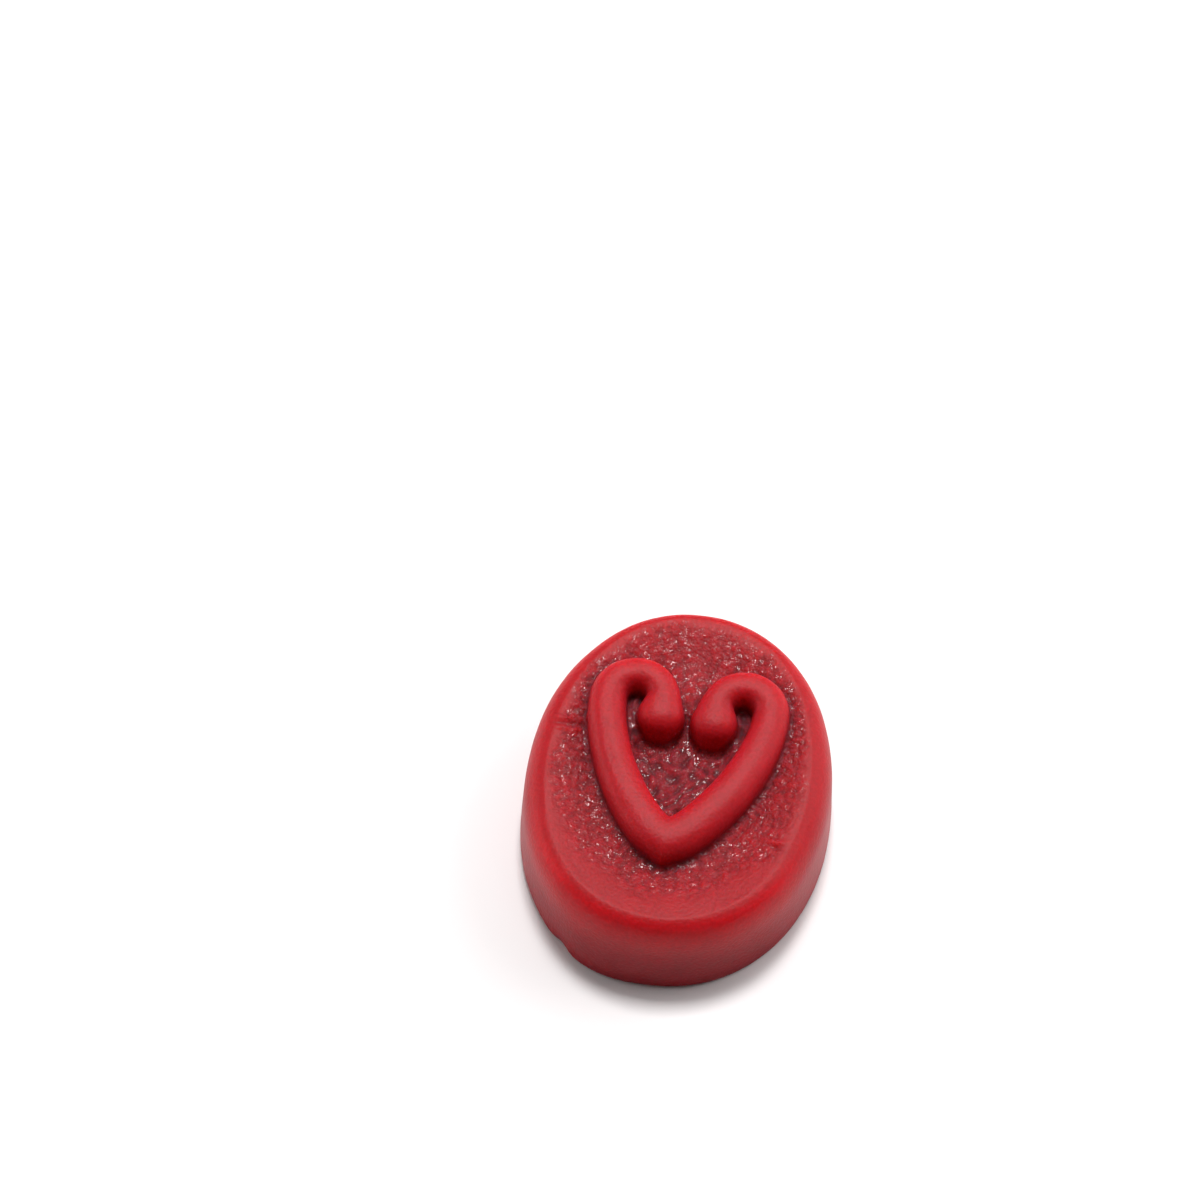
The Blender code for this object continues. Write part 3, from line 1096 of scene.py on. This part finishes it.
    def _bump(self, tree: bpy.types.NodeTree, places: bpy.types.NodeSocket,
              zones: dict[Zone, bpy.types.NodeSocket]) -> bpy.types.NodeSocket:
        """Grain too fine for the mesh: cells and crumbs on the field, a dusty satin elsewhere.

        Args:
            tree: The material's node tree.
            places: The surface's Object coordinates.
            zones: The zones as the tree reads them.

        Returns:
            The surface's normal.
        """
        cells = add_node(
            tree, "TexVoronoi", {"Vector": places, "Scale": 1.0 / self.cell_width},
            feature="SMOOTH_F1",
        ).outputs["Distance"]
        dust = add_node(tree, "Bump", {
            "Height": self._noise(tree, places, self.dust_width, detail=1.0),
            "Distance": self.dust_height,
        }).outputs["Normal"]
        hide = add_node(tree, "Bump", {
            "Height": cells, "Distance": self.cell_height, "Strength": zones[Zone.GRAIN],
            "Normal": dust,
        }, invert=True).outputs["Normal"]
        return add_node(tree, "Bump", {
            "Height": self._noise(tree, places, self.crumb_width, detail=0.0),
            "Distance": self.crumb_height, "Strength": zones[Zone.GRAIN], "Normal": hide,
        }).outputs["Normal"]


@dataclass(frozen=True)
class SoftBox:
    """One square soft box that faces the sweet.

    Attributes:
        name: The light's name.
        azimuth: Degrees to the right of the camera's side.
        elevation: Degrees above the table.
        distance: How far it stands.
        size: Length of its side.
        level: Brightness that it gives white paper which faces it.
    """

    name: str
    azimuth: float
    elevation: float
    distance: float
    size: float
    level: float

    def build(self, turn: float) -> None:
        """Make the light.

        Args:
            turn: Azimuth of the camera.
        """
        lamp = bpy.data.lights.new(self.name, "AREA")
        lamp.shape = "SQUARE"
        lamp.size = self.size
        lamp.energy = self.level * (math.pi * self.distance) ** 2
        around = turn + math.radians(self.azimuth)
        rise = math.radians(self.elevation)
        towards = Vector((
            math.sin(around) * math.cos(rise), -math.cos(around) * math.cos(rise), math.sin(rise),
        ))
        light = bpy.data.objects.new(self.name, lamp)
        light.location = towards * self.distance
        light.rotation_euler = towards.to_track_quat("Z", "Y").to_euler()
        bpy.context.scene.collection.objects.link(light)


@dataclass(frozen=True)
class Studio:
    """A white table under soft boxes, seen from the photograph's angle."""

    turn: float = math.radians(9.74)
    elevation: float = math.radians(57.0)
    distance: float = 230.0 * MM
    lens: float = 94.0
    aim_x: float = -8.34 * MM
    aim_y: float = 16.45 * MM
    sensor_width: float = 36.0
    clip: tuple[float, float] = (0.01, 10.0)
    table_size: float = 1.6
    table_white: str = "#f4f1f1"
    table_roughness: float = 0.8
    table_specular: float = 0.1
    room_white: str = "#ffffff"
    room_level: float = 0.10
    boxes: tuple[SoftBox, ...] = (
        SoftBox("key", 176.0, 68.0, 0.50, 0.10, 0.78),
        SoftBox("halo", 174.0, 58.0, 0.50, 0.44, 0.25),
        SoftBox("left", -106.0, 18.0, 0.45, 0.28, 0.34),
        SoftBox("right", 114.0, 32.0, 0.45, 0.34, 0.57),
    )

    def build(self) -> None:
        """Set up the table, the lights, the surroundings and the camera."""
        self._camera()
        self._table()
        self._room()
        for box in self.boxes:
            box.build(self.turn)
        bpy.context.scene.view_settings.view_transform = "Standard"

    def _camera(self) -> None:
        """The camera, aimed at the middle of the photograph's frame."""
        eye = bpy.data.cameras.new("eye")
        eye.sensor_width = self.sensor_width
        eye.lens = self.lens
        eye.clip_start, eye.clip_end = self.clip
        back = Vector((
            math.sin(self.turn) * math.cos(self.elevation),
            -math.cos(self.turn) * math.cos(self.elevation),
            math.sin(self.elevation),
        ))
        camera = bpy.data.objects.new("camera", eye)
        camera.location = Vector((self.aim_x, self.aim_y, 0.0)) + back * self.distance
        camera.rotation_euler = back.to_track_quat("Z", "Y").to_euler()
        bpy.context.scene.collection.objects.link(camera)
        bpy.context.scene.camera = camera

    def _table(self) -> None:
        """The table top: board under rolled matt white paint, which shows soft shadows alone."""
        mould = bmesh.new()
        bmesh.ops.create_grid(mould, x_segments=1, y_segments=1, size=self.table_size / 2.0)
        mesh = bpy.data.meshes.new("table")
        mould.to_mesh(mesh)
        mould.free()
        table = bpy.data.objects.new("table", mesh)
        bpy.context.scene.collection.objects.link(table)
        paint = bpy.data.materials.new("white_table")
        paint.use_nodes = True
        shader = paint.node_tree.nodes["Principled BSDF"]
        shader.inputs["Base Color"].default_value = linear(self.table_white)
        shader.inputs["Roughness"].default_value = self.table_roughness
        shader.inputs["Specular IOR Level"].default_value = self.table_specular
        mesh.materials.append(paint)

    def _room(self) -> None:
        """Surroundings that the camera sees white and that light the sweet faintly."""
        world = bpy.data.worlds.new("pale_room")
        world.use_nodes = True
        tree = world.node_tree
        tree.nodes.clear()
        white = linear(self.room_white)
        lit = add_node(tree, "Background", {"Color": white, "Strength": self.room_level})
        seen = add_node(tree, "Background", {"Color": white, "Strength": 1.0})
        both = add_node(tree, "MixShader", {
            0: add_node(tree, "LightPath").outputs["Is Camera Ray"],
            1: lit.outputs[0], 2: seen.outputs[0],
        })
        add_node(tree, "OutputWorld", {"Surface": both.outputs[0]})
        bpy.context.scene.world = world


def main() -> None:
    """Build the sweet and its studio in order."""
    logging.basicConfig(level=logging.INFO, format="%(name)s: %(message)s")
    low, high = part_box(NODE)
    body = OvalBody(width=high.x - low.x, length=high.y - low.y)
    bead = HeartBead(top=high.z)
    piece = Medallion(body, bead, Relief()).build()
    piece.data.materials.append(LicoricePaste().material())
    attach(piece, "root")
    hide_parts(NODE)
    LOG.info("%s: %d faces", piece.name, len(piece.data.polygons))
    studio = Studio()
    studio.build()
    LOG.info("studio: %d soft boxes", len(studio.boxes))


if __name__ == "__main__":
    main()
